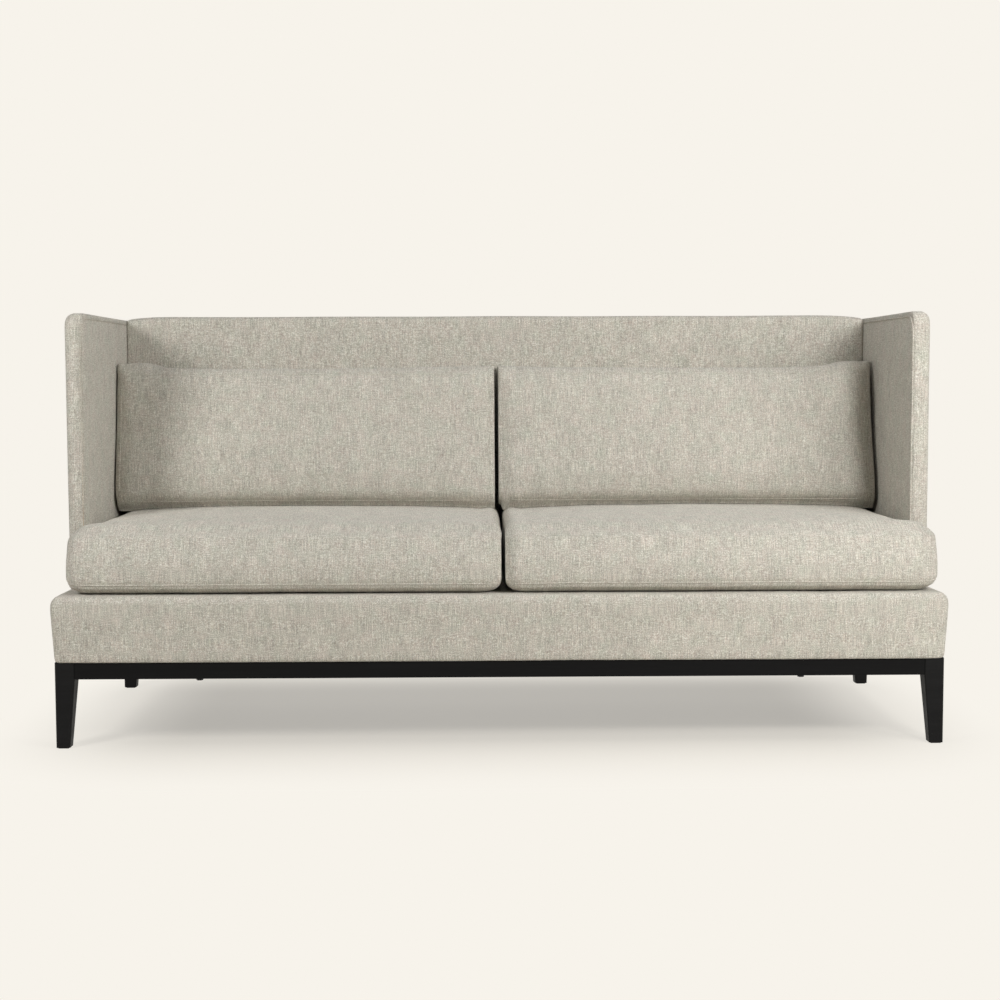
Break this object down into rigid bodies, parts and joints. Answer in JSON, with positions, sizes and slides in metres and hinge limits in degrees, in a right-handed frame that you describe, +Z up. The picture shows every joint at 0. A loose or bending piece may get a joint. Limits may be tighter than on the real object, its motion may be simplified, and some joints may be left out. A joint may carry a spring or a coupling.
{
  "type": "dining sofa",
  "caption": "High-backed upholstered dining sofa with thin full-height wings, T-shaped seat cushions, loose back cushions and a black tapered-leg stand.",
  "frame": {"origin": "on the floor, in the middle of the sofa's footprint", "axes": "+X to the right as seen from the front, -Y to the front, +Z up"},
  "size_m": [1.96, 0.76, 0.963],
  "materials": {
    "stained_wood": "satin",
    "frame_wood": "matte",
    "wing_board": "matte",
    "upholstery": "matte",
    "foam": "matte",
    "webbing": "matte",
    "dust_cloth": "matte",
    "zip_tape": "matte",
    "zip_metal": "satin",
    "bolt_steel": "satin",
    "glide_nylon": "matte"
  },
  "bodies": {
    "frame": {"leg_front_left": "stained_wood", "leg_front_right": "stained_wood", "leg_rear_left": "stained_wood", "leg_rear_right": "stained_wood", "stand_rail_front": "stained_wood", "stand_rail_rear": "stained_wood", "stand_rail_left": "stained_wood", "stand_rail_right": "stained_wood", "stand_cross_rail": "stained_wood", "leg_glides": "glide_nylon", "stand_bolts": "bolt_steel", "seat_rail_front": "frame_wood", "seat_rail_rear": "frame_wood", "seat_rail_left": "frame_wood", "seat_rail_right": "frame_wood", "seat_stretchers": "frame_wood", "seat_corner_blocks": "frame_wood", "seat_webbing_cross": "webbing", "seat_webbing_long": "webbing", "base_cover": "upholstery", "base_padding": "foam", "deck_pad": "foam", "dust_cover": "dust_cloth", "wing_cover_left": "upholstery", "wing_padding_left": "foam", "wing_top_rail_left": "frame_wood", "wing_panel_left": "wing_board", "wing_post_left": "frame_wood", "back_post_left": "frame_wood", "wing_cover_right": "upholstery", "wing_padding_right": "foam", "wing_top_rail_right": "frame_wood", "wing_panel_right": "wing_board", "wing_post_right": "frame_wood", "back_post_right": "frame_wood", "back_post_centre": "frame_wood", "back_rail_top": "frame_wood", "back_rail_lower": "frame_wood", "back_webbing_upright": "webbing", "back_webbing_level": "webbing", "back_padding": "foam", "back_cover_inside": "upholstery", "back_cover_outside": "upholstery"},
    "seat_cushion_left": {"seat_cushion_cover_left": "upholstery", "seat_cushion_foam_left": "foam", "seat_cushion_zip_left": "zip_tape"},
    "seat_slider_left": {"seat_zip_slider_left": "zip_metal"},
    "back_cushion_left": {"back_cushion_cover_left": "upholstery", "back_cushion_fill_left": "foam", "back_cushion_zip_left": "zip_tape"},
    "back_slider_left": {"back_zip_slider_left": "zip_metal"},
    "seat_cushion_right": {"seat_cushion_cover_right": "upholstery", "seat_cushion_foam_right": "foam", "seat_cushion_zip_right": "zip_tape"},
    "seat_slider_right": {"seat_zip_slider_right": "zip_metal"},
    "back_cushion_right": {"back_cushion_cover_right": "upholstery", "back_cushion_fill_right": "foam", "back_cushion_zip_right": "zip_tape"},
    "back_slider_right": {"back_zip_slider_right": "zip_metal"}
  },
  "joints": [
    {"name": "seat_lift_left", "type": "slide", "parent": "frame", "child": "seat_cushion_left", "axis": [0, 0, 1], "range_m": [0, 0.65]},
    {"name": "back_lift_left", "type": "slide", "parent": "seat_cushion_left", "child": "back_cushion_left", "axis": [0, 0, 1], "range_m": [0, 0.5]},
    {"name": "seat_zip_left", "type": "slide", "parent": "seat_cushion_left", "child": "seat_slider_left", "axis": [1, 0, 0], "range_m": [0, 0.7849]},
    {"name": "back_zip_left", "type": "slide", "parent": "back_cushion_left", "child": "back_slider_left", "axis": [1, 0, 0], "range_m": [0, 0.7739]},
    {"name": "seat_lift_right", "type": "slide", "parent": "frame", "child": "seat_cushion_right", "axis": [0, 0, 1], "range_m": [0, 0.65]},
    {"name": "back_lift_right", "type": "slide", "parent": "seat_cushion_right", "child": "back_cushion_right", "axis": [0, 0, 1], "range_m": [0, 0.5]},
    {"name": "seat_zip_right", "type": "slide", "parent": "seat_cushion_right", "child": "seat_slider_right", "axis": [1, 0, 0], "range_m": [0, 0.7729]},
    {"name": "back_zip_right", "type": "slide", "parent": "back_cushion_right", "child": "back_slider_right", "axis": [1, 0, 0], "range_m": [0, 0.7739]}
  ]
}
